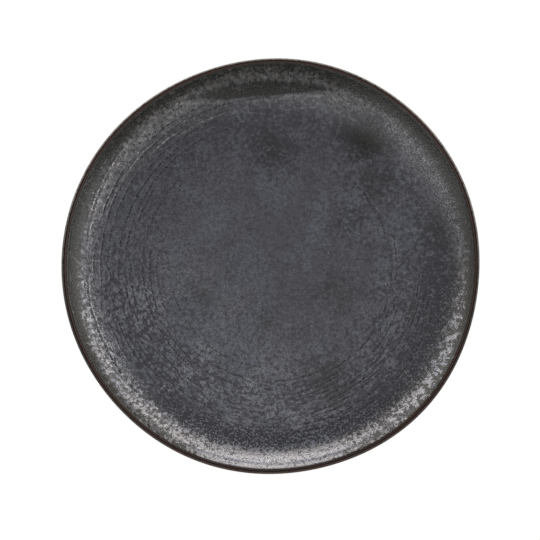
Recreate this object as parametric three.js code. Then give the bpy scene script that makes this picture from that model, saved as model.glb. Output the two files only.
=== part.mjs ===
// A round stoneware breakfast plate: a flat floor, a wall that curves up to a rounded lip,
// a foot ring underneath, and the coats of glaze that were fired onto the clay.
// Millimetres, +Z up. The origin is the centre of the foot ring, on the table.
import * as THREE from "three";

// Driving dimensions of the plate
const plateDiameter = 215; // over the glazed lip
const plateHeight = 21; // from the table to the top of the glazed lip
const wallSlope = 47; // degrees from level, where the wall meets the lip
const floorThickness = 4.6; // clay only
const lipThickness = 1.8; // clay only, the wall thins to this from the floor's thickness

// Driving dimensions of the foot ring
const footRingHeight = 3.2; // from the table to the clay of the floor
const footRingWidth = 6; // at the floor
const footRingInset = 12; // in from the edge of the flat floor to the outside of the ring
const footRingBevel = 0.9; // on both edges that meet the table

// Driving dimensions of the glaze coats
const baseCoat = 0.3; // dark base on the eating side
const topCoat = 0.25; // blue-grey coat over the base
const lipCoat = 0.35; // iron-brown band around the lip
const outerCoat = 0.3; // from the lip band down to the foot ring
const undersideCoat = 0.3; // inside the foot ring
const lipBandInside = 0.2; // how far the lip band runs down the inside of the wall
const lipBandOutside = 2.2; // and down the outside
const topCoatStop = 0.15; // strip of bare base coat between the top coat and the lip band
const glazeSeam = 0.1; // parting between two coats that meet edge to edge
const footWipe = 0.4; // strip wiped clean on each side of the foot ring
const bondGap = 0.02; // parting between a coat or the foot ring and what it is fused to

// How finely the round shapes are cut
const turnSteps = 60;
const wallSteps = 6;
const lipSteps = 6;

// The clay's main levels and radii
const slope = THREE.MathUtils.degToRad(wallSlope);
const undersideZ = footRingHeight;
const floorZ = undersideZ + floorThickness;
const lipRadius = lipThickness / 2;
const lipReach = lipRadius + bondGap + lipCoat;
const lipCentre = new THREE.Vector2(plateDiameter / 2 - lipReach, plateHeight - lipReach);

// The inside of the wall is an arc that leaves the floor level and ends at the lip
const wallRise = lipCentre.y + lipRadius * Math.cos(slope) - floorZ;
const wallRadius = wallRise / (1 - Math.cos(slope));
const floorRadius = lipCentre.x - lipRadius * Math.sin(slope) - wallRadius * Math.sin(slope);
const footOuterRadius = floorRadius - footRingInset;
const footInnerRadius = footOuterRadius - footRingWidth;

// A station is a point of the clay's skin with the direction that points out of the clay there
function station(r, z, outR, outZ) {
  return { point: new THREE.Vector2(r, z), out: new THREE.Vector2(outR, outZ) };
}

function insideWall(angle) {
  const sin = Math.sin(angle);
  const cos = Math.cos(angle);
  return station(floorRadius + wallRadius * sin, floorZ + wallRadius * (1 - cos), -sin, cos);
}

function outsideWall(angle) {
  const inside = insideWall(angle);
  const thickness = THREE.MathUtils.lerp(floorThickness, lipThickness, angle / slope);
  const point = inside.point.clone().addScaledVector(inside.out, -thickness);
  return station(point.x, point.y, -inside.out.x, -inside.out.y);
}

function lipRound(angle) {
  const cos = Math.cos(angle);
  const sin = Math.sin(angle);
  return station(lipCentre.x + lipRadius * cos, lipCentre.y + lipRadius * sin, cos, sin);
}

// Evenly spaced values from start to end, both included
function spread(start, end, steps) {
  return Array.from({ length: steps + 1 }, (_, i) => THREE.MathUtils.lerp(start, end, i / steps));
}

// Where each coat stops, as an angle of the wall's arc
const alongWall = (length) => slope - length / wallRadius;
const lipBandStart = alongWall(lipBandInside);
const baseCoatEnd = alongWall(lipBandInside + glazeSeam);
const topCoatEnd = alongWall(lipBandInside + glazeSeam + topCoatStop);
const lipBandEnd = alongWall(lipBandOutside);
const outerCoatStart = alongWall(lipBandOutside + glazeSeam);

// The clay's skin from the middle of the floor, over the lip, to the middle of the underside
const floorMiddle = station(0, floorZ, 0, 1);
const topCoated = [floorMiddle, ...spread(0, topCoatEnd, wallSteps).map(insideWall)];
const baseCoated = [...topCoated, insideWall(baseCoatEnd)];
const lipCoated = [
  insideWall(lipBandStart),
  ...spread(Math.PI / 2 + slope, slope - Math.PI / 2, lipSteps).map(lipRound),
  outsideWall(lipBandEnd),
];
const underside = (r) => station(r, undersideZ, 0, -1);
const outerCoated = [
  ...spread(outerCoatStart, 0, wallSteps).map(outsideWall),
  underside(footOuterRadius + footWipe),
];
const undersideCoated = [underside(footInnerRadius - footWipe), underside(0)];

// Turns a profile of (radius, height) points about the plate's axis
function turned(profile) {
  return new THREE.LatheGeometry(profile, turnSteps).rotateX(Math.PI / 2);
}

// A profile ends on the axis, or closes on itself
function closed(profile) {
  return profile[0].x === 0 ? profile : [...profile, profile[0]];
}

// A coat lies along the stations, from one height above the clay to another
function coat(stations, under, thickness) {
  const raised = (height) => stations.map((s) => s.point.clone().addScaledVector(s.out, height));
  return turned(closed([...raised(under), ...raised(under + thickness).reverse()]));
}

function clayBody() {
  const skin = [...baseCoated, ...lipCoated, ...outerCoated, ...undersideCoated];
  return turned(skin.map((s) => s.point).reverse());
}

function footRing() {
  const top = undersideZ - bondGap;
  const corners = [
    [footInnerRadius, top],
    [footInnerRadius, footRingBevel],
    [footInnerRadius + footRingBevel, 0],
    [footOuterRadius - footRingBevel, 0],
    [footOuterRadius, footRingBevel],
    [footOuterRadius, top],
  ];
  return turned(closed(corners.map(([r, z]) => new THREE.Vector2(r, z))));
}

function piece(name, geometry, color, roughness) {
  const material = new THREE.MeshStandardMaterial({ color, roughness, metalness: 0 });
  const mesh = new THREE.Mesh(geometry, material);
  mesh.name = name;
  return mesh;
}

const plate = new THREE.Group();
plate.name = "breakfast_plate";
plate.add(
  piece("stoneware_body", clayBody(), "#7a6858", 0.9),
  piece("foot_ring", footRing(), "#7a6858", 0.85),
  piece("inner_base_glaze", coat(baseCoated, bondGap, baseCoat), "#2c2928", 0.4),
  piece("well_top_glaze", coat(topCoated, bondGap + baseCoat + bondGap, topCoat), "#4b4a50", 0.45),
  piece("lip_glaze", coat(lipCoated, bondGap, lipCoat), "#3a302b", 0.4),
  piece("outer_glaze", coat(outerCoated, bondGap, outerCoat), "#2a2727", 0.4),
  piece("underside_glaze", coat(undersideCoated, bondGap, undersideCoat), "#2a2727", 0.45),
);

export default plate;
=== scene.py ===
"""A round stoneware breakfast plate with a dark reactive glaze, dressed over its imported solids.

Each piece of clay or glaze is turned again as a fine mesh over its solid, with the marks that the wheel,
the potter's hands and the kiln leave, gets its own fired finish, and is set in a small white studio.
"""

import math
from functools import partial
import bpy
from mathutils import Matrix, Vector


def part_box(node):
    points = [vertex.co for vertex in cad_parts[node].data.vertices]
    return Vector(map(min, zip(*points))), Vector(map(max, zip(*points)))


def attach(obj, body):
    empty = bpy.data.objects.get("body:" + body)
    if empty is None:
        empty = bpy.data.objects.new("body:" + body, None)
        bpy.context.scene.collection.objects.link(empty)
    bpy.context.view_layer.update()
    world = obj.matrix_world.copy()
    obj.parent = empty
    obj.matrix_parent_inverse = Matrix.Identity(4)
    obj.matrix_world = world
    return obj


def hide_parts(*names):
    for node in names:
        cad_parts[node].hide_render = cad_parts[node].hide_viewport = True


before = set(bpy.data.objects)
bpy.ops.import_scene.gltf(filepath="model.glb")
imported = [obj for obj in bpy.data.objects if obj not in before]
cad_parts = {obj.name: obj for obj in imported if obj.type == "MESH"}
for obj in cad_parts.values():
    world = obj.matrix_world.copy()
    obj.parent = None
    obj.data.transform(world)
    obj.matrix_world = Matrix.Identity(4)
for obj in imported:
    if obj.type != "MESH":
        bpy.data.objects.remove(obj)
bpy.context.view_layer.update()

from types import SimpleNamespace

import bpy
from mathutils import Vector, noise

bl_info = {
    "name": "Stoneware breakfast plate",
    "version": (1, 0, 0),
    "blender": (4, 5, 0),
    "location": "3D View > Sidebar > Plate",
    "description": "Turns a glazed stoneware plate over its packed solids and sets it in a studio",
    "category": "Object",
}

MM = 0.001
BOND_GAP = 0.02 * MM
SECTION_MAP = "turn_and_section_mm"

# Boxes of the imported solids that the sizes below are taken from
LIP_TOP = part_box("lip_glaze")[1]
FOOT_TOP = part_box("foot_ring")[1]
BASE_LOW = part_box("inner_base_glaze")[0]
WELL_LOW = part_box("well_top_glaze")[0]
RECESS_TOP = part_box("underside_glaze")[1]

# Marks of the wheel: radius in millimetres of each groove that a rib left in the floor and wall, the bearing
# where it is deepest and how far it runs to both sides of that, in degrees
THROWING_RINGS = (
    (52.8, 222, 60), (59.8, 225, 75), (63.8, 215, 80), (67.0, 205, 80), (73.0, 190, 95), (76.3, 180, 105),
    (79.9, 175, 105), (82.7, 170, 100), (85.4, 165, 95), (88.6, 160, 90), (92.2, 150, 55), (95.4, 205, 60),
    (60.2, 306, 36), (62.5, 312, 44), (64.9, 318, 44), (66.8, 315, 48), (69.1, 322, 46), (71.0, 314, 50),
    (73.3, 308, 48), (75.2, 317, 52), (77.2, 324, 46), (79.0, 316, 52), (81.4, 310, 48), (83.5, 312, 50),
    (85.6, 320, 40), (87.4, 308, 42), (84.0, 268, 40),
)

# Ridges that the rib pushed up on the wall, given in the same way
RIDGES = (
    (96.0, 168, 26), (97.8, 154, 16), (90.2, 142, 18), (86.6, 126, 28), (88.6, 116, 16), (95.0, 196, 16),
    (84.4, 122, 24), (90.8, 128, 20),
)

# Cracks that run along the rings at the right of the floor, given in the same way
RING_CRACKS = ((65.2, 4, 26), (62.3, 352, 22), (61.6, 25, 30))

# Radius in millimetres inside which the floor has no such marks
QUIET_MM = 46

# How the lip strays from a circle: waves around it, swing in millimetres, bearing of a crest in degrees
OUT_OF_ROUND = ((2, 0.31, 45), (3, 0.49, 57), (4, 0.18, -34), (5, 0.19, 25), (6, 0.18, 18))

# Olive blotches in the well: place in millimetres, right and away from the viewer, reach and strength
OLIVE_BLOTCHES_MM = (
    (50, 67, 12, 0.95), (54, 44, 12, 0.38), (88, 17, 8, 0.35), (1, 59, 12, 0.45), (40, 23, 9, 0.4),
    (-38, -16, 8, 0.42), (-4, -31, 8, 0.4), (28, -60, 12, 0.36), (35, -15, 9, 0.45),
)

# Height of the glazed floor over the table, in millimetres
GLAZED_FLOOR_MM = 8.4

# Zones of the well that the reactive glaze changes over: the line that a zone is measured along, where it
# begins and where it is full in millimetres, and its strength there. The lines run right (x), away from the
# viewer (y), out from the axis (radius) and to the near left (side).
NEAR_LEFT = (-0.67, -0.74, 0)
ZONES_MM = {
    "near": ("y", 45, -45, 1),
    "nearer": ("y", 12, -22, 1),
    "ribbed": ("y", -10, -60, 1),
    "front": ("y", -50, -88, 1),
    "whole": ("y", -86, -104, 0.14),
    "near_crest": ("y", -95, -106, 1.8),
    "fine": ("y", 5, 35, 0.65),
    "away": ("y", 20, 85, 0.7),
    "farther": ("y", 40, 72, 0.1),
    "beyond": ("y", 55, 82, 1),
    "far_crest": ("y", 92, 103, 2.8),
    "rightward": ("x", 25, 70, 1),
    "right_crest": ("x", 40, 70, 0.9),
    "leftward": ("x", -5, -45, 1),
    "left_wall": ("x", 10, -50, 0.8),
    "left_crest": ("x", -68, -92, 0.9),
    "drawn": ("side", 5, 60, 1),
    "firm": ("radius", 25, 70, 1),
    "outer": ("radius", 45, 70, 1),
    "sparse": ("radius", 70, 88, 0.11),
    # Near foot of the wall: less film and darker glaze there, painted shade
    "foot": ("radius", 83, 88, 0.16),
    "wall": ("radius", 84, 95, 1),
    "deep": ("radius", 91, 101, 1),
    "steep": ("radius", 93, 98.5, 1),
    "hazed": ("radius", 98, 91, 1),
}

# Zones of full strength that begin and end straight
FADES_MM = {
    "left_end": ("y", -60, -15),
    "right_end": ("y", -12, -48),
    "sparse_end": ("y", 65, 0),
    "sparse_top": ("radius", 99.5, 94.5),
    "foot_top": ("radius", 97, 92),
}

# How much is left of a mark outside a zone and inside it
SHARES = {
    "level": ("wall", 1, 0),
    "clouded": ("drawn", 1, 0.4),
    "firm_near": ("near", 0.35, 1),
    "calm_near": ("near", -0.9, -0.1),
    "lively_near": ("near", 0.4, 0.55),
    "jointed": ("steep", 1, 0.2),
    "pins_near": ("near", 0.9, 0.1),
    "pins_right": ("rightward", 1, 0.25),
    "away_right": ("rightward", 1, 0.35),
}

# Zones where others overlap
OVERLAPS = {
    "beached": ("rightward", "wall", "nearer"),
    "frosty": ("rightward", "outer", "nearer"),
    "bloomed": ("rightward", "ribbed"),
    "along": ("outer", "ribbed", "level"),
    "near_wall": ("front", "steep"),
    "slivered": ("left_wall", "wall"),
    "fine": ("fine", "rightward", "wall"),
    "whole": ("whole", "steep"),
    "foot": ("foot", "foot_top", "front"),
    "sparse": ("sparse", "rightward", "sparse_end", "sparse_top"),
    "hazed": ("hazed", "wall", "front"),
    "away": ("away", "wall", "away_right"),
    "left_crest": ("left_crest", "left_end"),
    "right_crest": ("right_crest", "right_end"),
}

# Noises that the marks in the reactive glaze are cut from: the sheet they lie on, the size of a mark in
# millimetres, then detail, roughness and swirl
NOISES_MM = {
    "islands": ("flat", 2.0, 4, 0.62, 0),
    "shoals": ("flat", 2.4, 3, 0.55, 0.9),
    "clouds": ("flat", 5.5, 2, 0.5, 0),
    "drift": ("flat", 15.0, 4, 0.5, 0),
    "seams": ("flat", 9.0, 5, 0.6, 0),
    "flakes": ("flat", 1.0, 2, 0.5, 0),
    "specks": ("flat", 0.7, 2, 0.5, 0),
    "grain": ("flat", 0.55, 2, 0.7, 0),
    "peel": ("flat", 0.7, 2, 0.6, 0),
    "dashes": ("unrolled", 1.1, 3, 0.65, 0),
    "bricks": ("bricked", 1.7, 4, 0.6, 0),
    "streaks": ("runs", 2.0, 3, 0.5, 0),
    "slivers": ("drawn_out", 1.6, 2, 0.5, 0),
}

# Radius that the rings are unrolled at, and how the unrolled sheet is stretched, twice along the rings and
# once across them
UNROLLED_MM = 75
STRETCHES = {"bricked": (0.7, 0.7, 1.1), "runs": (1, 1, 0.12), "drawn_out": (0.26, 0.26, 2.0)}

# How far apart pinholes and single bright crystals lie, and the sizes of bricks of film, of clouds in the
# lip's wash and of grains in the clay, in millimetres
PINHOLE_MM, STAR_MM, TILE_MM, LIP_MOTTLE_MM, GROG_MM = 4.4, 14.0, 2.8, 1.2, 0.8

# Setting of a range that eases in and out
SOFT = {"interpolation_type": "SMOOTHSTEP"}

# Ring of soft boxes around the plate: bearing from the right, rise over the table, height in metres and
# brightness. They stand equally far off and are equally wide, in metres.
BOX_DISTANCE, BOX_WIDTH = 1.4, 1.05
SOFT_BOXES = (
    ("right_box", 0, 29, 0.63, 1.85),
    ("back_right_box", 45, 27.5, 0.61, 1.9),
    ("back_box", 90, 11, 0.5, 2.4),
    ("back_left_box", 135, 17, 0.55, 1.7),
    ("left_box", 180, 21, 0.5, 1.1),
    ("front_left_box", 215, 39, 0.7, 1.25),
    ("front_right_box", 320, 45, 0.9, 0.78),
)

# Square soft box over the plate and square sheet of paper under it, in metres
OVER_BOX_PLACE, OVER_BOX_WIDTH = (-0.25, -0.4, 1.35), 0.6
PAPER_WIDTH = 12


def linear(code):
    """An sRGB hex colour as the linear values that shaders take."""
    parts = [int(code[i:i + 2], 16) / 255 for i in (1, 3, 5)]
    return tuple(c / 12.92 if c <= 0.04045 else ((c + 0.055) / 1.055) ** 2.4 for c in parts)


def number(name, description, default, **more):
    """A number that the user can change."""
    return bpy.props.FloatProperty(name=name, description=description, default=default, **more)


def length(name, description, default):
    """A size that the user can change, shown as a distance."""
    return number(name, description, default, min=0.0, precision=5, unit="LENGTH")


def slope(name, description, degrees):
    """An angle that the user can change."""
    return number(name, description, math.radians(degrees), subtype="ANGLE")


def colour(name, description, code):
    """A colour that the user can change."""
    return bpy.props.FloatVectorProperty(
        name=name, description=description, default=linear(code), size=3, min=0.0, max=1.0, subtype="COLOR"
    )


class PlateSizes(bpy.types.PropertyGroup):
    """Sizes of the clay and of its coats."""

    lip_radius: length("Lip radius", "Plate's radius over the glazed lip", LIP_TOP.x)
    height: length("Height", "From the table to the top of the glazed lip", LIP_TOP.z)
    wall_slope: slope("Wall slope", "Slope of the wall at the lip", 47)
    floor_thickness: length("Floor thickness", "Clay of the floor", 4.6 * MM)
    lip_thickness: length("Lip thickness", "Clay of the lip", 1.8 * MM)
    foot_height: length("Foot height", "From the table to the clay of the floor", RECESS_TOP.z + BOND_GAP)
    foot_radius: length("Foot radius", "Outside of the foot ring", FOOT_TOP.x)
    foot_width: length("Foot width", "Foot ring at the floor", 6.0 * MM)
    foot_bevel: length("Foot bevel", "Rounding of the foot ring's edges at the table", 0.9 * MM)
    base_coat: length("Base coat", "Dark glaze on the eating side", WELL_LOW.z - BASE_LOW.z - BOND_GAP)
    top_coat: length("Top coat", "Blue-grey glaze over the base", 0.25 * MM)
    lip_coat: length("Lip coat", "Brown glaze around the lip", 0.35 * MM)
    outer_coat: length("Outer coat", "Dark glaze on the outside", 0.3 * MM)
    underside_coat: length("Underside coat", "Dark glaze inside the foot ring", 0.3 * MM)
    lip_band_inside: length("Lip band inside", "How far the brown band runs down inside", 0.2 * MM)
    lip_band_outside: length("Lip band outside", "How far the brown band runs down outside", 2.2 * MM)
    top_coat_stop: length("Top coat stop", "Bare base coat below the lip band", 0.15 * MM)
    glaze_seam: length("Glaze seam", "Parting between two coats", 0.1 * MM)
    foot_wipe: length("Foot wipe", "Strip wiped clean beside the foot ring", 0.4 * MM)
    bond_gap: length("Bond gap", "Parting between a coat and the clay", BOND_GAP)
    ring_depth: length("Ring depth", "Depth of the throwing rings", 0.07 * MM)
    ring_width: length("Ring width", "Half width of a throwing ring", 0.42 * MM)
    floor_sway: length("Floor sway", "Slow unevenness of the floor", 0.12 * MM)
    lip_sway: length("Lip sway", "Rise and fall of the lip around the plate", 0.25 * MM)


class GlazeColours(bpy.types.PropertyGroup):
    """Colours of the clay and of its coats."""

    film: colour("Crystal film", "Blue-grey crystals that float on the top coat", "#7b8089")
    mauve: colour("Mauve film", "Thinner film, where the dark base tints it", "#706f75")
    # Pale film on the near floor, partly painted sheen
    pale_film_and_sheen: colour("Pale film and sheen", "Thick pale film on the near side of the floor", "#979aa1")
    # Also tints the near wall's crystals as a painted highlight
    glint: colour("Glint", "Bright crystals in the film", "#b8b1af")
    haze: colour("Blue haze", "Bluer film at the near foot of the wall", "#717f95")
    gap: colour("Film gap", "Glaze between the crystals", "#403e43")
    vein: colour("Vein", "Dark lines between patches of film", "#1e1d20")
    wall: colour("Wall glaze", "Thin olive-black glaze on the wall", "#161511")
    olive_film: colour("Olive film", "Thin film on the far and side walls", "#686862")
    olive: colour("Olive specks", "Fine crystals in the wall's glaze", "#58544b")
    iron: colour("Iron base", "Dark base coat", "#1d1b19")
    lip: colour("Lip", "Brown-black glaze on the lip", "#170f0d")
    rust: colour("Rust", "Where the lip's glaze breaks over the edge", "#553a2f")
    # Painted highlight: pale grey laid on the far side's outer lip edge
    edge_highlight: colour("Edge highlight", "Pale grey where the lip's outer edge is bared", "#8f867d")
    outside: colour("Outside", "Near-black glaze on the outside", "#1f1d1c")
    clay: colour("Clay", "Bare fired stoneware", "#7a6858")
    grog: colour("Grog", "Dark grains in the clay", "#3d3129")


class StudioSettings(bpy.types.PropertyGroup):
    """Lamps, paper and camera."""

    lamp_level: number("Lamp level", "Brightness of all the soft boxes together", 1.0)
    room_level: number("Room level", "Brightness of the rest of the room", 0.32)
    lens: number("Lens", "Focal length in millimetres", 100.0)
    elevation: slope("Elevation", "Camera's height over the table", 83.5)
    frame_width: length("Frame width", "Width of the picture at the lip", 276.5 * MM)
    aim_right: length("Aim right", "How far right of the picture's middle the plate lies", 0.85 * MM)
    aim_up: length("Aim up", "How far above the picture's middle the plate lies", 3.71 * MM)


class Station:
    """A point of the clay's skin, as radius and height, with the direction that points out of the clay."""

    def __init__(self, r, z, out_r, out_z):
        self.r, self.z, self.out_r, self.out_z = r, z, out_r, out_z

    def moved(self, height):
        """The same direction, from a point at a height over this one."""
        return Station(self.r + self.out_r * height, self.z + self.out_z * height, self.out_r, self.out_z)

    def raised(self, height, relief=0.0, along=0.0):
        """A row for turning: the point at a height over the clay with its direction, the share of the relief
        that it takes and its place along the section."""
        up = self.moved(height)
        return (up.r, up.z, up.out_r, up.out_z, relief, along)


class Section:
    """The clay's cross-section: level floor, arc of the wall, rounded lip, tapering outside."""

    def __init__(self, sizes):
        self.sizes = sizes
        self.slope = sizes.wall_slope
        self.floor = sizes.foot_height + sizes.floor_thickness
        self.lip_half = sizes.lip_thickness / 2
        reach = self.lip_half + sizes.bond_gap + sizes.lip_coat
        self.lip_r = sizes.lip_radius - reach
        self.lip_z = sizes.height - reach
        rise = self.lip_z + self.lip_half * math.cos(self.slope) - self.floor
        self.wall_radius = rise / (1 - math.cos(self.slope))
        self.floor_radius = self.lip_r - (self.lip_half + self.wall_radius) * math.sin(self.slope)

    def inside(self, angle):
        sin, cos = math.sin(angle), math.cos(angle)
        r = self.floor_radius + self.wall_radius * sin
        return Station(r, self.floor + self.wall_radius * (1 - cos), -sin, cos)

    def outside(self, angle):
        wall = self.inside(angle)
        taper = angle / self.slope
        thick = self.sizes.floor_thickness * (1 - taper) + self.sizes.lip_thickness * taper
        return Station(wall.r - wall.out_r * thick, wall.z - wall.out_z * thick, -wall.out_r, -wall.out_z)

    def lip(self, angle):
        cos, sin = math.cos(angle), math.sin(angle)
        return Station(self.lip_r + self.lip_half * cos, self.lip_z + self.lip_half * sin, cos, sin)

    def floor_at(self, r):
        return Station(r, self.floor, 0.0, 1.0)

    def underside_at(self, r):
        return Station(r, self.sizes.foot_height, 0.0, -1.0)

    def along_wall(self, distance):
        """The wall's angle at a distance down from the lip."""
        return self.slope - distance / self.wall_radius


def spread(start, end, pitch):
    """Evenly spaced values from start to end, both included, about a pitch apart."""
    steps = max(1, round(abs(end - start) / pitch))
    return [start + (end - start) * i / steps for i in range(steps + 1)]


def smooth(low, high, value):
    """0 below low, 1 above high and a soft step between."""
    t = min(1.0, max(0.0, (value - low) / (high - low)))
    return t * t * (3 - 2 * t)


def thrown(sizes, r, z, angle):
    """Where a turned point ends up on a plate thrown by hand: the lip strays from a true circle."""
    share = max(0.0, (r - sizes.foot_radius) / (sizes.lip_radius - sizes.foot_radius)) ** 2
    swing = sum(mm * MM * math.cos(n * (angle - math.radians(crest))) for n, mm, crest in OUT_OF_ROUND)
    r += share * swing
    z += share * sizes.lip_sway * (math.cos(2 * angle + 1.0) + 0.5 * math.cos(3 * angle)) / 1.5
    return r * math.cos(angle), r * math.sin(angle), z


def turned(name, sizes, rows, steps, relief=None):
    """Turns rows of (r, z, out_r, out_z, relief share, place along the section) into a closed mesh. The rows
    run round the section. Relief gives the lift of a point and how much glaze has pooled there, less than
    nothing on a ridge."""
    verts, rings, pooled = [], [], []
    for r, z, out_r, out_z, share, along in rows:
        ring = []
        for step in range(steps if r > 1e-7 else 1):
            angle = 2 * math.pi * step / steps
            lift, pool = relief(r, angle) if relief and share else (0.0, 0.0)
            ring.append(len(verts))
            verts.append(thrown(sizes, r + out_r * lift * share, z + out_z * lift * share, angle))
            pooled.append(pool)
        rings.append(ring)
    faces, uvs = [], []
    for i, low in enumerate(rings):
        j = (i + 1) % len(rings)
        high = rings[j]
        if len(low) == len(high) == 1:
            continue
        for step in range(steps):
            after = (step + 1) % steps
            corners = [
                (low[step % len(low)], step, rows[i][5]),
                (low[after % len(low)], step + 1, rows[i][5]),
                (high[after % len(high)], step + 1, rows[j][5]),
                (high[step % len(high)], step, rows[j][5]),
            ]
            if len(low) == 1:
                del corners[1]
            if len(high) == 1:
                del corners[2]
            faces.append([c[0] for c in corners])
            uvs.extend((c[1] / steps, c[2] / MM) for c in corners)
    mesh = bpy.data.meshes.new(name)
    mesh.from_pydata(verts, [], faces)
    layer = mesh.uv_layers.new(name=SECTION_MAP)
    layer.uv.foreach_set("vector", [value for uv in uvs for value in uv])
    if relief:
        mesh.attributes.new("pooled", "FLOAT", "POINT").data.foreach_set("value", pooled)
    mesh.polygons.foreach_set("use_smooth", [True] * len(mesh.polygons))
    if mesh.validate():
        raise RuntimeError(f"{name} has faces that can't be made")
    piece = bpy.data.objects.new(name, mesh)
    bpy.context.scene.collection.objects.link(piece)
    return piece


def dress(piece, material, node):
    """Gives a piece its finish and seats it over the solid that it stands for."""
    piece.data.materials.append(material)
    piece.data.set_sharp_from_angle(angle=math.radians(50))
    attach(piece, "root")
    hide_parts(node)


def coat_rows(stations, under, thickness, feather):
    """Rows of a coat along stations: its hidden back, then its face, drawn down at the free ends."""
    walked = [0.0]
    for a, b in zip(stations, stations[1:]):
        walked.append(walked[-1] + math.hypot(b.r - a.r, b.z - a.z))
    back = sorted({*range(0, len(stations), 4), len(stations) - 1})
    rows = [stations[i].raised(under, 0.0, walked[i]) for i in back]
    face = []
    for s, place in zip(stations, walked):
        ends = [walked[-1] - place] + ([place] if stations[0].r > 1e-7 else [])
        full = min(1.0, min(ends) / feather)
        swell = math.sqrt(max(0.0, 1 - (1 - full) ** 2))
        face.append(s.raised(under + thickness * (0.12 + 0.88 * swell), swell, place))
    return rows + face[::-1]


def well_relief(sizes):
    """Relief of the eating side: grooves and ridges of the throwing rings and cracks along them, broken here
    and there, on a slow sway."""
    marks = THROWING_RINGS + RIDGES + RING_CRACKS

    def relief(r, angle):
        x, y = math.cos(angle), math.sin(angle)
        mm = r / MM
        sway = noise.noise(Vector((x * mm / 34, y * mm / 34, 1.7)))
        ripple = noise.noise(Vector((x * 1.3, y * 1.3, mm / 4.5)))
        height = sizes.floor_sway * sway + 0.35 * sizes.ring_depth * ripple
        pool = 0.0
        if mm < QUIET_MM:
            return height, pool
        for i, (ring, bearing, reach) in enumerate(marks):
            stray = 0.9 * noise.noise(Vector((x * 1.1, y * 1.1, 3.1 * i)))
            stray += 0.45 * noise.noise(Vector((x * 16, y * 16, 5.3 * i)))
            gap = (mm - ring - stray) * MM / sizes.ring_width
            turn = abs((math.degrees(angle) - bearing + 180) % 360 - 180)
            if abs(gap) < 3 and turn < reach:
                broken = smooth(-0.25, 0.1, noise.noise(Vector((x * 3.3, y * 3.3, 7.7 * i + 2))))
                depth = math.exp(-gap * gap) - 0.4 * math.exp(-((gap - 2.0) ** 2))
                chopped = smooth(-0.5, -0.1, noise.noise(Vector((x * 26, y * 26, 9.1 * i))))
                depth *= broken * (0.45 + 0.95 * chopped) * smooth(1.0, 0.4, turn / reach)
                if (ring, bearing, reach) in RIDGES:
                    depth = -depth
                height -= sizes.ring_depth * depth
                pool = max(pool, depth, key=abs)
        return height, pool

    return relief


def outside_relief(sizes):
    """Relief of the outside: soft turning marks."""

    def relief(r, angle):
        x, y = math.cos(angle), math.sin(angle)
        mm = r / MM
        return 0.6 * sizes.ring_depth * noise.noise(Vector((x * 0.8, y * 0.8, mm / 2.2))), 0.0

    return relief


def add_node(tree, kind, inputs=(), operation=None, **settings):
    """Adds a node with its settings, and fills or links its inputs, given in order or by name."""
    made = tree.nodes.new("ShaderNode" + kind)
    if operation:
        settings["operation"] = operation
    for name, value in settings.items():
        setattr(made, name, value)
    for key, value in inputs.items() if isinstance(inputs, dict) else enumerate(inputs):
        if isinstance(value, bpy.types.Node):
            value = value.outputs[0]
        if isinstance(value, bpy.types.NodeSocket):
            tree.links.new(value, made.inputs[key])
        else:
            made.inputs[key].default_value = value
    return made


def fired(name):
    """A new material with an empty node tree, and what adds a node to it."""
    material = bpy.data.materials.new(name)
    material.use_nodes = True
    material.node_tree.nodes.clear()
    return material, partial(add_node, material.node_tree)


def rgba(value):
    return (*value, 1.0)


def in_millimetres(add):
    """The place on the plate in millimetres."""
    place = add("TexCoord").outputs["Object"]
    return add("VectorMath", {0: place, 3: 1 / MM}, "SCALE")


def around_the_axis(add, mm):
    """The distance from the axis, and the place on a cylinder that the rings are unrolled onto, so that
    patterns can run along the rings with no seam."""
    flat = add("VectorMath", (mm, (1, 1, 0)), "MULTIPLY")
    radius = add("VectorMath", (flat,), "LENGTH").outputs["Value"]
    unit = add("VectorMath", (flat,), "NORMALIZE")
    along = add("VectorMath", {0: unit, 3: UNROLLED_MM}, "SCALE")
    rings = add("CombineXYZ", {2: radius})
    return radius, add("VectorMath", (along, rings), "ADD")


def band(add, value, middle, reach, core, strength=1):
    """A soft band to both sides of a middle, full inside its core and gone past its reach."""
    off = add("Math", (value, middle), "SUBTRACT")
    off = add("Math", (off,), "ABSOLUTE")
    return add("MapRange", (off, reach, core, 0, strength), **SOFT)


def glaze_zones(add, mm, radius):
    """The zones of the well by name, each running from nothing outside it to its strength inside."""
    axes = add("SeparateXYZ", (mm,))
    side = add("VectorMath", (mm, NEAR_LEFT), "DOT_PRODUCT").outputs["Value"]
    zones = {"x": axes.outputs[0], "y": axes.outputs[1], "radius": radius, "side": side}
    for name, (line, start, full, strength) in ZONES_MM.items():
        zones[name] = add("MapRange", (zones[line], start, full, 0, strength), **SOFT)
    for name, (line, start, full) in FADES_MM.items():
        zones[name] = add("MapRange", (zones[line], start, full))
    for name, (zone, outside, inside) in SHARES.items():
        zones[name] = add("MapRange", (zones[zone], 0, 1, outside, inside))
    zones["ribbed"] = add("Math", (zones["ribbed"], zones["drawn"]), "MAXIMUM")
    for name, (first, *others) in OVERLAPS.items():
        shared = zones[first]
        for other in others:
            shared = add("Math", (shared, zones[other]), "MULTIPLY")
        zones[name] = shared
    return SimpleNamespace(**zones)


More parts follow.
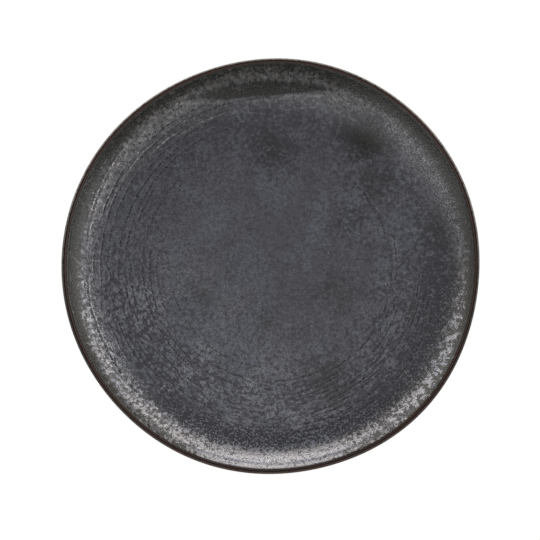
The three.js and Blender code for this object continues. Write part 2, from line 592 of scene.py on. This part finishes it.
def glaze_marks(add, mm, unrolled):
    """The noises and cells by name that the marks in the reactive glaze are cut from."""
    sheets = {"flat": mm, "unrolled": unrolled}
    for name, stretch in STRETCHES.items():
        sheets[name] = add("VectorMath", (unrolled, stretch), "MULTIPLY")
    marks = {}
    for name, (sheet, size, detail, roughness, swirl) in NOISES_MM.items():
        marks[name] = add("TexNoise", {
            "Vector": sheets[sheet], "Scale": 1 / size, "Detail": detail, "Roughness": roughness,
            "Distortion": swirl})
    for name, size in (("dots", PINHOLE_MM), ("stars", STAR_MM)):
        marks[name] = add("TexVoronoi", {"Vector": mm, "Scale": 1 / size}, voronoi_dimensions="2D")
    nudge = marks["bricks"].outputs["Color"]
    tiled = add("VectorMath", (nudge, (1.6, 1.6, 1.6), sheets["bricked"]), "MULTIPLY_ADD")
    tiles = {"Vector": tiled, "Scale": 1 / TILE_MM}
    marks["joints"] = add("TexVoronoi", tiles, feature="DISTANCE_TO_EDGE")
    return SimpleNamespace(**marks)


def glaze_pool(add, mm, zone, mark, ragged):
    """Where the glaze stays olive and clear, and the pale line at the shore of its pool."""
    # The pool ran to the far side and stopped at a straight line across the foot of the wall
    slant = add("Math", (zone.x, -0.068, zone.y), "MULTIPLY_ADD")
    shore = add("Math", (mark.drift, 5, slant), "MULTIPLY_ADD")
    past = add("MapRange", (shore, 91.4, 93), **SOFT)
    below = add("MapRange", (ragged, 101.8, 98.8), **SOFT)
    clear = add("Math", (past, below), "MULTIPLY")
    strand = band(add, shore, 90.2, 1.8, 0.2, 0.33)
    strand = add("Math", (strand, below), "MULTIPLY")

    # Blotches where the base shows through
    nudge = add("VectorMath", (mark.drift.outputs["Color"], (-0.5, -0.5, -0.5)), "ADD")
    warped = add("VectorMath", (nudge, (16, 16, 0), mm), "MULTIPLY_ADD")
    for right, away, reach, strength in OLIVE_BLOTCHES_MM:
        apart = add("VectorMath", (warped, (right, away, GLAZED_FLOOR_MM)), "DISTANCE")
        blotch = add("MapRange", (apart.outputs["Value"], 1.7 * reach, 0, 0, strength), **SOFT)
        clear = add("Math", (clear, blotch), "MAXIMUM")
    return clear, strand


def glaze_film(add, zone, mark, ragged, clear):
    """The film of crystals, soft and nearly whole in the middle, broken into islands towards the wall and the
    near side, drawn out along the rings and thin towards the lip, and the frost of single crystals in it."""
    pattern = mark.islands
    for share, other in ((zone.along, mark.bricks), (zone.beached, mark.shoals), (zone.fine, mark.specks)):
        pattern = add("Mix", {0: share, 2: pattern, 3: other}, data_type="FLOAT")
    cover = add("Math", (mark.grain, 0.2, pattern), "MULTIPLY_ADD")
    clouds = add("Math", (mark.clouds, 0.5), "SUBTRACT")
    for share in (zone.level, zone.clouded):
        clouds = add("Math", (clouds, share), "MULTIPLY")
    cover = add("Math", (clouds, 0.3, cover), "MULTIPLY_ADD")

    # The film ends below the lip, lower on the far side than on the near one. The wider bare band on the far
    # wall is partly painted shade for the dark reflection there.
    end = add("MapRange", (zone.y, 30, -110, 103.4, 108.8))
    for rise in (zone.far_crest, zone.near_crest, zone.right_crest):
        end = add("Math", (end, rise), "ADD")
    end = add("Math", (end, zone.left_crest), "SUBTRACT")
    top = add("Math", (ragged, end), "SUBTRACT")
    bare = add("MapRange", (top, -3.4, 1.8), **SOFT)
    bare = add("Math", (bare, clear), "MAXIMUM")
    cover = add("Math", (bare, -0.26, cover), "MULTIPLY_ADD")
    cover = add("Math", (cover, zone.whole), "ADD")
    lean = add("Math", (zone.outer, 0.042), "MULTIPLY")
    lean = add("Math", (lean, zone.farther), "MAXIMUM")
    lean = add("Math", (lean, zone.level), "MULTIPLY")
    # Less film at the near foot of the wall is painted shade
    for loss in (zone.foot, lean, zone.sparse):
        cover = add("Math", (cover, loss), "SUBTRACT")

    # Firm film breaks off sharply, soft film fades
    calm = add("Math", (zone.calm_near, zone.wall, 1), "MULTIPLY_ADD")
    firm = zone.firm
    for share in (zone.firm_near, calm):
        firm = add("Math", (firm, share), "MULTIPLY")
    firm = add("Math", (zone.beached, 0.5, firm), "MULTIPLY_ADD")
    limits = []
    for soft_limit, firm_limit, beached in ((0.31, 0.48, 0.09), (0.91, 0.7, -0.09)):
        limit = add("MapRange", (firm, 0, 1, soft_limit, firm_limit))
        limits.append(add("Math", (zone.beached, beached, limit), "MULTIPLY_ADD"))
    film = add("MapRange", (cover, limits[0], limits[1]), **SOFT)

    frost = add("MapRange", (mark.flakes, 0.5, 0.66, 0, 0.85), **SOFT)
    frosty = add("Math", (zone.frosty, 0.6), "MULTIPLY")
    frosty = add("Math", (frosty, zone.front), "MAXIMUM")
    coated = add("MapRange", (bare, 0, 1, 1, 0))
    for share in (frosty, coated):
        frost = add("Math", (frost, share), "MULTIPLY")
    return add("Math", (film, frost), "MAXIMUM"), frost


def glaze_veins(add, zone, mark):
    """Dark glaze in the throwing rings and between bricks of film, broken into dashes, and pale ridges."""
    grooves = add("Attribute", attribute_name="pooled").outputs["Fac"]
    dashes = add("MapRange", (mark.dashes, 0.44, 0.54))
    vein = add("Math", (grooves, dashes), "MULTIPLY", use_clamp=True)
    ease = add("MapRange", (zone.near_wall, 0, 1, 1, 0.42))
    vein = add("Math", (vein, ease), "MULTIPLY")
    ridge = add("Math", (grooves, -0.75), "MULTIPLY")
    ridge = add("Math", (ridge, dashes), "MULTIPLY", use_clamp=True)
    joints = add("MapRange", (mark.joints, 0.09, 0.02, 0, 0.42), **SOFT)
    for share in (dashes, zone.leftward, zone.outer, zone.jointed):
        joints = add("Math", (joints, share), "MULTIPLY")
    return add("Math", (vein, joints), "MAXIMUM"), ridge


def glaze_ground(add, colours, zone, mark, clear):
    """The colour of the glaze between the crystals: dark grey on the floor, olive-black on the wall."""
    deep = add("Math", (zone.deep, clear), "MAXIMUM")
    mottle = add("MapRange", (mark.specks, 0.48, 0.67, 0, 0.42), **SOFT)
    hazy = add("Math", (zone.near, 0.35), "MULTIPLY")
    hazy = add("Math", (zone.beached, 0.1, hazy), "MULTIPLY_ADD")
    mottle = add("Math", (mottle, hazy), "ADD", use_clamp=True)
    olive = add("Mix", {0: mottle, 6: rgba(colours.wall), 7: rgba(colours.olive)}, data_type="RGBA")
    # Darker ground at the near foot of the wall is painted shade; at the right foot it darkens the gaps
    # between islands
    foot_shade_and_dark_gaps = add("Math", (zone.foot, 2.4), "MULTIPLY")
    foot_shade_and_dark_gaps = add("Math", (zone.sparse, 2, foot_shade_and_dark_gaps), "MULTIPLY_ADD")
    ground = add("Mix", {0: foot_shade_and_dark_gaps, 6: rgba(colours.gap), 7: rgba(colours.vein)}, data_type="RGBA")
    return add("Mix", {0: deep, 6: ground.outputs[2], 7: olive.outputs[2]}, data_type="RGBA").outputs[2]


def glaze_crystals(add, colours, zone, mark, glints):
    """The colour of the crystals, and how far each of them glints. Other glints come on top."""
    tone = add("MapRange", (mark.drift, 0.36, 0.64), **SOFT)
    # Paler film on the near and near-left floor: partly the film's own patchy tone, partly painted sheen
    pale_film_and_sheen = add("Math", (zone.bloomed, 0.8), "MULTIPLY")
    pale_film_and_sheen = add("Math", (pale_film_and_sheen, zone.drawn), "MAXIMUM")
    pale_film_and_sheen = add("Math", (pale_film_and_sheen, tone), "MULTIPLY")
    worn_thin = add("MapRange", (mark.grain, 0.54, 0.32, 0, 0.9), **SOFT)

    # A darker line along the near crest: painted shade of a groove in the near wall's highlight, where the
    # painted highlight tint and the bright specks are dimmed too
    line = band(add, zone.radius, 102.2, 1.4, 0.2)
    line = add("Math", (line, zone.front), "MULTIPLY")
    beside = add("MapRange", (line, 0, 1, 1, 0.1))
    line = add("Math", (line, 0.45), "MULTIPLY")
    # Painted highlight: the crystals on the near wall are tinted toward the glint colour where the back
    # light's reflection falls
    highlight_tint = add("Math", (zone.near_wall, 0.45), "MULTIPLY")
    highlight_tint = add("Math", (highlight_tint, beside), "MULTIPLY")

    crystal = rgba(colours.film)
    layers = ((tone, colours.mauve), (pale_film_and_sheen, colours.pale_film_and_sheen), (worn_thin, colours.gap),
              (zone.away, colours.olive_film), (zone.hazed, colours.haze), (line, colours.gap),
              (highlight_tint, colours.glint))
    for share, tint in layers:
        crystal = add("Mix", {0: share, 6: crystal, 7: rgba(tint)}, data_type="RGBA").outputs[2]

    lively = add("Math", (zone.wall, zone.lively_near, 0.08), "MULTIPLY_ADD")
    lively = add("Math", (zone.beached, 0.12, lively), "MULTIPLY_ADD", use_clamp=True)
    lively = add("Math", (lively, beside), "MULTIPLY")
    bright = add("MapRange", (mark.specks, 0.47, 0.62, 0, lively), **SOFT)
    slivers = add("MapRange", (mark.slivers, 0.55, 0.64), **SOFT)
    slivers = add("Math", (slivers, zone.slivered), "MULTIPLY")
    stars = add("MapRange", (mark.stars, 0.035, 0.015, 0, 0.7), **SOFT)
    seams = band(add, mark.seams, 0.5, 0.014, 0, 0.55)
    cracked = add("Math", (zone.rightward, zone.beyond), "MAXIMUM")
    seams = add("Math", (seams, cracked), "MULTIPLY")
    for glint in (slivers, stars, seams, *glints):
        bright = add("Math", (bright, glint), "MAXIMUM")
    crystal = add("Mix", {0: bright, 6: crystal, 7: rgba(colours.glint)}, data_type="RGBA")
    return crystal.outputs[2], bright


def reactive_glaze(colours):
    # Reactive glaze, poured over a dark base and melted: silvery blue-grey crystals float up into a film that
    # breaks into islands, with dark glossy glaze between them. The throwing rings draw the islands out and
    # fill with dark glaze. Where the glaze pooled it stays olive and clear. An orange peel makes the wall
    # glitter.
    material, add = fired("blue_grey_reactive_glaze_poured_and_fired")
    mm = in_millimetres(add)
    radius, unrolled = around_the_axis(add, mm)
    zone = glaze_zones(add, mm, radius)
    mark = glaze_marks(add, mm, unrolled)
    ragged = add("Math", (mark.streaks, 6, radius), "MULTIPLY_ADD")
    clear, strand = glaze_pool(add, mm, zone, mark, ragged)
    film, frost = glaze_film(add, zone, mark, ragged, clear)
    vein, ridge = glaze_veins(add, zone, mark)
    film = add("Math", (vein, -0.6, film), "MULTIPLY_ADD", use_clamp=True)
    film = add("Math", (film, ridge), "MAXIMUM")

    # Pinholes on the wall
    pins = add("MapRange", (mark.dots, 0.14, 0.08), **SOFT)
    for share in (zone.wall, zone.pins_right, zone.pins_near):
        pins = add("Math", (pins, share), "MULTIPLY")
    dark = add("Math", (vein, pins), "MAXIMUM")

    frosted = add("Math", (frost, 0.4), "MULTIPLY")
    crystal, bright = glaze_crystals(add, colours, zone, mark, (frosted, ridge, strand))
    ground = glaze_ground(add, colours, zone, mark, clear)
    for share, tint in ((film, crystal), (dark, rgba(colours.vein))):
        ground = add("Mix", {0: share, 6: ground, 7: tint}, data_type="RGBA").outputs[2]
    metal = add("MapRange", (bright, 0, 1, 0.55, 1))
    metal = add("Math", (film, metal), "MULTIPLY")
    dull = add("MapRange", (film, 0, 1, 0.17, 0.23))
    height = add("Math", (mark.peel, 0.12), "MULTIPLY")
    for layer, thickness in ((film, 0.03), (dark, -0.08)):
        height = add("Math", (layer, thickness, height), "MULTIPLY_ADD")
    bump = add("Bump", {"Strength": 1.0, "Distance": MM, "Height": height})
    shader = add("BsdfPrincipled", {
        "Base Color": ground, "Metallic": metal, "Roughness": dull, "IOR": 1.5, "Normal": bump})
    add("OutputMaterial", {"Surface": shader})
    return material


def dipped_glaze(name, size_mm, detail, tints, gloss, ior):
    """A dipped glaze that is mottled between two tints, and between two degrees of gloss."""
    material, add = fired(name)
    mottle = add("TexNoise", {"Vector": in_millimetres(add), "Scale": 1 / size_mm, "Detail": detail})
    ground = add("Mix", {0: mottle, 6: rgba(tints[0]), 7: rgba(tints[1])}, data_type="RGBA")
    dull = add("MapRange", (mottle, 0.3, 0.7, gloss[0], gloss[1]))
    bump = add("Bump", {"Strength": 0.4, "Distance": 0.1 * MM, "Height": mottle})
    shader = add("BsdfPrincipled", {
        "Base Color": ground.outputs[2], "Roughness": dull, "IOR": ior, "Normal": bump})
    add("OutputMaterial", {"Surface": shader})
    return material


def iron_glaze(colours):
    # Iron base glaze, dipped: near-black, glossy and slightly mottled.
    tints = (colours.iron, colours.wall)
    return dipped_glaze("dark_iron_base_glaze_dipped", 1.5, 4.0, tints, (0.24, 0.38), 1.7)


def outside_glaze(colours):
    # Near-black glaze, dipped: satin, with grey where it thins.
    tints = (colours.outside, colours.gap)
    return dipped_glaze("near_black_outer_glaze_dipped", 3.0, 5.0, tints, (0.26, 0.45), 1.6)


def lip_glaze(colours):
    # Iron wash on the lip, brushed: brown-black, breaking to a thin rust line where it thins over the edge.
    # The near side is browner on its outer face, and its rust line is dimmed there as painted shade. The far
    # side's outer edge is lightened to a pale grey as a painted highlight.
    material, add = fired("iron_brown_lip_wash_brushed")
    mm = in_millimetres(add)
    away = add("SeparateXYZ", (mm,)).outputs[1]
    section = add("SeparateXYZ", (add("UVMap", uv_map=SECTION_MAP),))
    mottle = add("TexNoise", {"Vector": mm, "Scale": 1 / LIP_MOTTLE_MM, "Detail": 4.0})
    place = add("Math", (mottle, 0.2, section.outputs[1]), "MULTIPLY_ADD")
    rust = band(add, place, 0.44, 0.34, 0.14)
    near = add("MapRange", (away, -40, -95), **SOFT)
    # Painted shade: the rust line is dimmed on the near side
    painted_near_shade = add("MapRange", (near, 0, 1, 1, 0.6))
    rust = add("Math", (rust, painted_near_shade), "MULTIPLY")
    brown = add("MapRange", (place, 1, 1.35, 0, 0.45), **SOFT)
    brown = add("Math", (brown, near), "MULTIPLY")
    rust = add("Math", (rust, brown), "MAXIMUM")
    ground = add("Mix", {0: rust, 6: rgba(colours.lip), 7: rgba(colours.rust)}, data_type="RGBA")
    # Painted highlight: the far side's outer edge is lightened to pale grey, broken up by the mottle
    edge_highlight = add("MapRange", (place, 1.08, 1.4), **SOFT)
    under = add("MapRange", (place, 2.9, 2.3), **SOFT)
    backlit = add("MapRange", (away, -45, 60, 0.2), **SOFT)
    highlight_breakup = add("MapRange", (mottle, 0.34, 0.5, 0.35), **SOFT)
    for share in (under, backlit, highlight_breakup):
        edge_highlight = add("Math", (edge_highlight, share), "MULTIPLY")
    ground = add("Mix", {0: edge_highlight, 6: ground.outputs[2], 7: rgba(colours.edge_highlight)}, data_type="RGBA")
    bump = add("Bump", {"Strength": 0.4, "Distance": 0.1 * MM, "Height": mottle})
    shader = add("BsdfPrincipled", {
        "Base Color": ground.outputs[2], "Roughness": 0.5, "Specular IOR Level": 0.2, "Normal": bump})
    add("OutputMaterial", {"Surface": shader})
    return material


def bare_stoneware(colours):
    # Stoneware, fired bare and ground flat: dry brown clay with dark grains of grog.
    material, add = fired("bare_stoneware_ground")
    grains = add("TexVoronoi", {"Vector": in_millimetres(add), "Scale": 1 / GROG_MM})
    grog = add("MapRange", (grains, 0.12, 0.3, 1, 0))
    ground = add("Mix", {0: grog, 6: rgba(colours.clay), 7: rgba(colours.grog)}, data_type="RGBA")
    bump = add("Bump", {"Strength": 0.5, "Distance": 0.08 * MM, "Height": grains})
    shader = add("BsdfPrincipled", {"Base Color": ground.outputs[2], "Roughness": 0.85, "Normal": bump})
    add("OutputMaterial", {"Surface": shader})
    return material


class PLATE_OT_clay(bpy.types.Operator):
    """Turn the clay of the floor, wall and lip"""

    bl_idname = "plate.clay"
    bl_label = "Clay body"

    def execute(self, context):
        sizes, colours = context.scene.plate_sizes, context.scene.glaze_colours
        cut = Section(sizes)
        stations = [cut.floor_at(0.0)]
        stations += [cut.inside(a) for a in spread(0, cut.slope, math.radians(2))]
        stations += [cut.lip(math.pi / 2 + cut.slope - a) for a in spread(0, math.pi, math.radians(15))[1:-1]]
        stations += [cut.outside(a) for a in spread(cut.slope, 0, math.radians(2))]
        stations += [cut.underside_at(0.0)]
        piece = turned("clay_body", sizes, [s.raised(0.0) for s in stations], steps=240)
        dress(piece, bare_stoneware(colours), "stoneware_body")
        return {"FINISHED"}


class PLATE_OT_foot(bpy.types.Operator):
    """Turn the bare foot ring"""

    bl_idname = "plate.foot"
    bl_label = "Foot ring"

    def execute(self, context):
        sizes, colours = context.scene.plate_sizes, context.scene.glaze_colours
        outer, inner = sizes.foot_radius, sizes.foot_radius - sizes.foot_width
        top, bevel = sizes.foot_height - sizes.bond_gap, sizes.foot_bevel
        stations = [Station(inner, z, -1, 0) for z in spread(top, bevel, 0.5 * MM)]
        stations += [Station(inner + bevel, bevel, -math.cos(a), -math.sin(a)).moved(bevel)
                     for a in spread(0, math.pi / 2, math.radians(15))[1:]]
        stations += [Station(r, 0.0, 0, -1) for r in spread(inner + bevel, outer - bevel, 0.5 * MM)[1:-1]]
        stations += [Station(outer - bevel, bevel, math.cos(a), -math.sin(a)).moved(bevel)
                     for a in spread(math.pi / 2, 0, math.radians(15))]
        stations += [Station(outer, z, 1, 0) for z in spread(bevel, top, 0.5 * MM)[1:]]
        piece = turned("foot_ring_bare", sizes, [s.raised(0.0) for s in stations], steps=240)
        dress(piece, bare_stoneware(colours), "foot_ring")
        return {"FINISHED"}


def inside_stations(cut, end, pitch):
    """Stations of the eating side, from the middle of the floor to an angle of the wall."""
    quiet = QUIET_MM * MM
    stations = [cut.floor_at(r) for r in spread(0, quiet, 2 * MM)]
    stations += [cut.floor_at(r) for r in spread(quiet, cut.floor_radius, pitch)[1:]]
    stations += [cut.inside(a) for a in spread(0, end, pitch / cut.wall_radius)[1:]]
    return stations


class PLATE_OT_base(bpy.types.Operator):
    """Lay the dark base coat on the eating side"""

    bl_idname = "plate.base"
    bl_label = "Base glaze"

    def execute(self, context):
        sizes, colours = context.scene.plate_sizes, context.scene.glaze_colours
        cut = Section(sizes)
        end = cut.along_wall(sizes.lip_band_inside + sizes.glaze_seam)
        stations = inside_stations(cut, end, pitch=0.8 * MM)
        rows = coat_rows(stations, sizes.bond_gap, sizes.base_coat, feather=0.3 * MM)
        piece = turned("base_glaze_coat", sizes, rows, steps=360)
        dress(piece, iron_glaze(colours), "inner_base_glaze")
        return {"FINISHED"}


class PLATE_OT_well(bpy.types.Operator):
    """Lay the blue-grey reactive coat over the base"""

    bl_idname = "plate.well"
    bl_label = "Reactive glaze"

    def execute(self, context):
        sizes, colours = context.scene.plate_sizes, context.scene.glaze_colours
        cut = Section(sizes)
        end = cut.along_wall(sizes.lip_band_inside + sizes.glaze_seam + sizes.top_coat_stop)
        under = sizes.bond_gap + sizes.base_coat + sizes.bond_gap
        stations = inside_stations(cut, end, pitch=0.35 * MM)
        rows = coat_rows(stations, under, sizes.top_coat, feather=0.5 * MM)
        piece = turned("reactive_glaze_coat", sizes, rows, steps=420, relief=well_relief(sizes))
        dress(piece, reactive_glaze(colours), "well_top_glaze")
        return {"FINISHED"}


class PLATE_OT_lip(bpy.types.Operator):
    """Brush the brown band around the lip"""

    bl_idname = "plate.lip"
    bl_label = "Lip glaze"

    def execute(self, context):
        sizes, colours = context.scene.plate_sizes, context.scene.glaze_colours
        cut = Section(sizes)
        pitch = 0.25 * MM
        start, end = cut.along_wall(sizes.lip_band_inside), cut.along_wall(sizes.lip_band_outside)
        stations = [cut.inside(a) for a in spread(start, cut.slope, pitch / cut.wall_radius)]
        turns = spread(0, math.pi, pitch / cut.lip_half)
        stations += [cut.lip(math.pi / 2 + cut.slope - a) for a in turns[1:]]
        stations += [cut.outside(a) for a in spread(cut.slope, end, pitch / cut.wall_radius)[1:]]
        rows = coat_rows(stations, sizes.bond_gap, sizes.lip_coat, feather=0.5 * MM)
        piece = turned("lip_glaze_band", sizes, rows, steps=480, relief=outside_relief(sizes))
        dress(piece, lip_glaze(colours), "lip_glaze")
        return {"FINISHED"}


class PLATE_OT_outside(bpy.types.Operator):
    """Lay the near-black coats on the outside and in the recess of the foot"""

    bl_idname = "plate.outside"
    bl_label = "Outer glazes"

    def execute(self, context):
        sizes, colours = context.scene.plate_sizes, context.scene.glaze_colours
        cut = Section(sizes)
        finish = outside_glaze(colours)
        start = cut.along_wall(sizes.lip_band_outside + sizes.glaze_seam)
        stations = [cut.outside(a) for a in spread(start, 0, 0.5 * MM / cut.wall_radius)]
        edge = sizes.foot_radius + sizes.foot_wipe
        stations += [cut.underside_at(r) for r in spread(stations[-1].r, edge, 0.5 * MM)[1:]]
        rows = coat_rows(stations, sizes.bond_gap, sizes.outer_coat, feather=0.6 * MM)
        piece = turned("outer_glaze_coat", sizes, rows, steps=360, relief=outside_relief(sizes))
        dress(piece, finish, "outer_glaze")
        edge = sizes.foot_radius - sizes.foot_width - sizes.foot_wipe
        stations = [cut.underside_at(r) for r in spread(0, edge, 0.8 * MM)]
        rows = coat_rows(stations, sizes.bond_gap, sizes.underside_coat, feather=0.6 * MM)
        piece = turned("recess_glaze_coat", sizes, rows, steps=240, relief=outside_relief(sizes))
        dress(piece, finish, "underside_glaze")
        return {"FINISHED"}


def white_paper():
    # White studio paper: it takes the plate's shadow, and is lifted to white where it is looked at.
    # Seen from below it lets the eye through, so that the foot can be looked at.
    material, add = fired("white_studio_paper")
    paths = add("LightPath")
    seen = paths.outputs["Is Camera Ray"]
    for ray in ("Is Glossy Ray", "Is Transmission Ray"):
        seen = add("Math", (seen, paths.outputs[ray]), "MAXIMUM")
    lift = add("Math", (seen, 0.86), "MULTIPLY")
    paper = add("BsdfDiffuse", {"Color": rgba(linear("#e8e8e8"))})
    glow = add("Emission", {"Color": (1, 1, 1, 1), "Strength": 1.1})
    both = add("MixShader", (lift, paper, glow))
    clear = add("BsdfTransparent")
    back = add("NewGeometry").outputs["Backfacing"]
    shader = add("MixShader", (back, both, clear))
    add("OutputMaterial", {"Surface": shader})
    return material


def card(name, width, height, place, facing, material):
    """A flat card of the studio that faces a point."""
    mesh = bpy.data.meshes.new(name)
    w, h = width / 2, height / 2
    mesh.from_pydata([(-w, -h, 0), (w, -h, 0), (w, h, 0), (-w, h, 0)], [], [(0, 1, 2, 3)])
    made = bpy.data.objects.new(name, mesh)
    made.data.materials.append(material)
    made.location = place
    made.rotation_euler = (Vector(facing) - Vector(place)).to_track_quat("Z", "Y").to_euler()
    bpy.context.scene.collection.objects.link(made)


def soft_box(name, width, height, place, level):
    """A soft box that faces the plate. A level of 1 is as bright as lit white paper."""
    lamp = bpy.data.lights.new(name, "AREA")
    lamp.shape = "RECTANGLE"
    lamp.size, lamp.size_y = width, height
    lamp.energy = level * math.pi * width * height
    made = bpy.data.objects.new(name, lamp)
    made.location = place
    made.rotation_euler = (-Vector(place)).to_track_quat("-Z", "Y").to_euler()
    made.visible_camera = False
    bpy.context.scene.collection.objects.link(made)


class PLATE_OT_studio(bpy.types.Operator):
    """Set up the paper, the lamps and the camera"""

    bl_idname = "plate.studio"
    bl_label = "Studio"

    def execute(self, context):
        scene = context.scene
        studio, sizes = scene.studio, scene.plate_sizes
        scene.view_settings.view_transform = "Standard"
        card("paper", PAPER_WIDTH, PAPER_WIDTH, (0, 0, 0), (0, 0, 1), white_paper())
        for name, bearing, rise, tall, level in SOFT_BOXES:
            around, up = math.radians(bearing), math.radians(rise)
            flat = math.cos(up)
            towards = Vector((math.cos(around) * flat, math.sin(around) * flat, math.sin(up)))
            soft_box(name, BOX_WIDTH, tall, BOX_DISTANCE * towards, level * studio.lamp_level)
        soft_box("over_box", OVER_BOX_WIDTH, OVER_BOX_WIDTH, OVER_BOX_PLACE, studio.lamp_level)
        world = bpy.data.worlds.new("room")
        world.use_nodes = True
        world.node_tree.nodes["Background"].inputs["Color"].default_value = rgba(linear("#f2f4f7"))
        world.node_tree.nodes["Background"].inputs["Strength"].default_value = studio.room_level
        scene.world = world
        lens = bpy.data.cameras.new("camera")
        lens.lens = studio.lens
        lens.sensor_width = 36
        lens.clip_start, lens.clip_end = 0.01, 50
        camera = bpy.data.objects.new("camera", lens)
        aim = Vector((-studio.aim_right, -studio.aim_up, sizes.height))
        distance = studio.frame_width * studio.lens / lens.sensor_width
        back = Vector((0, -math.cos(studio.elevation), math.sin(studio.elevation)))
        camera.location = aim + back * distance
        camera.rotation_euler = (-back).to_track_quat("-Z", "Y").to_euler()
        scene.collection.objects.link(camera)
        scene.camera = camera
        return {"FINISHED"}


class PLATE_PT_panel(bpy.types.Panel):
    """Sizes, colours and steps of the plate"""

    bl_label = "Stoneware plate"
    bl_idname = "PLATE_PT_panel"
    bl_space_type = "VIEW_3D"
    bl_region_type = "UI"
    bl_category = "Plate"

    def draw(self, context):
        for step in STEPS:
            self.layout.operator(step.bl_idname)
        for group in (context.scene.plate_sizes, context.scene.glaze_colours, context.scene.studio):
            box = self.layout.box()
            for name in group.bl_rna.properties.keys():
                if name not in ("rna_type", "name"):
                    box.prop(group, name)


STEPS = (PLATE_OT_clay, PLATE_OT_foot, PLATE_OT_base, PLATE_OT_well, PLATE_OT_lip, PLATE_OT_outside,
         PLATE_OT_studio)
CLASSES = (PlateSizes, GlazeColours, StudioSettings, *STEPS, PLATE_PT_panel)


def register():
    for made in CLASSES:
        bpy.utils.register_class(made)
    bpy.types.Scene.plate_sizes = bpy.props.PointerProperty(type=PlateSizes)
    bpy.types.Scene.glaze_colours = bpy.props.PointerProperty(type=GlazeColours)
    bpy.types.Scene.studio = bpy.props.PointerProperty(type=StudioSettings)


def unregister():
    del bpy.types.Scene.studio
    del bpy.types.Scene.glaze_colours
    del bpy.types.Scene.plate_sizes
    for made in reversed(CLASSES):
        bpy.utils.unregister_class(made)


def main():
    register()
    bpy.ops.plate.clay()
    bpy.ops.plate.foot()
    bpy.ops.plate.base()
    bpy.ops.plate.well()
    bpy.ops.plate.lip()
    bpy.ops.plate.outside()
    bpy.ops.plate.studio()


if __name__ == "__main__":
    main()
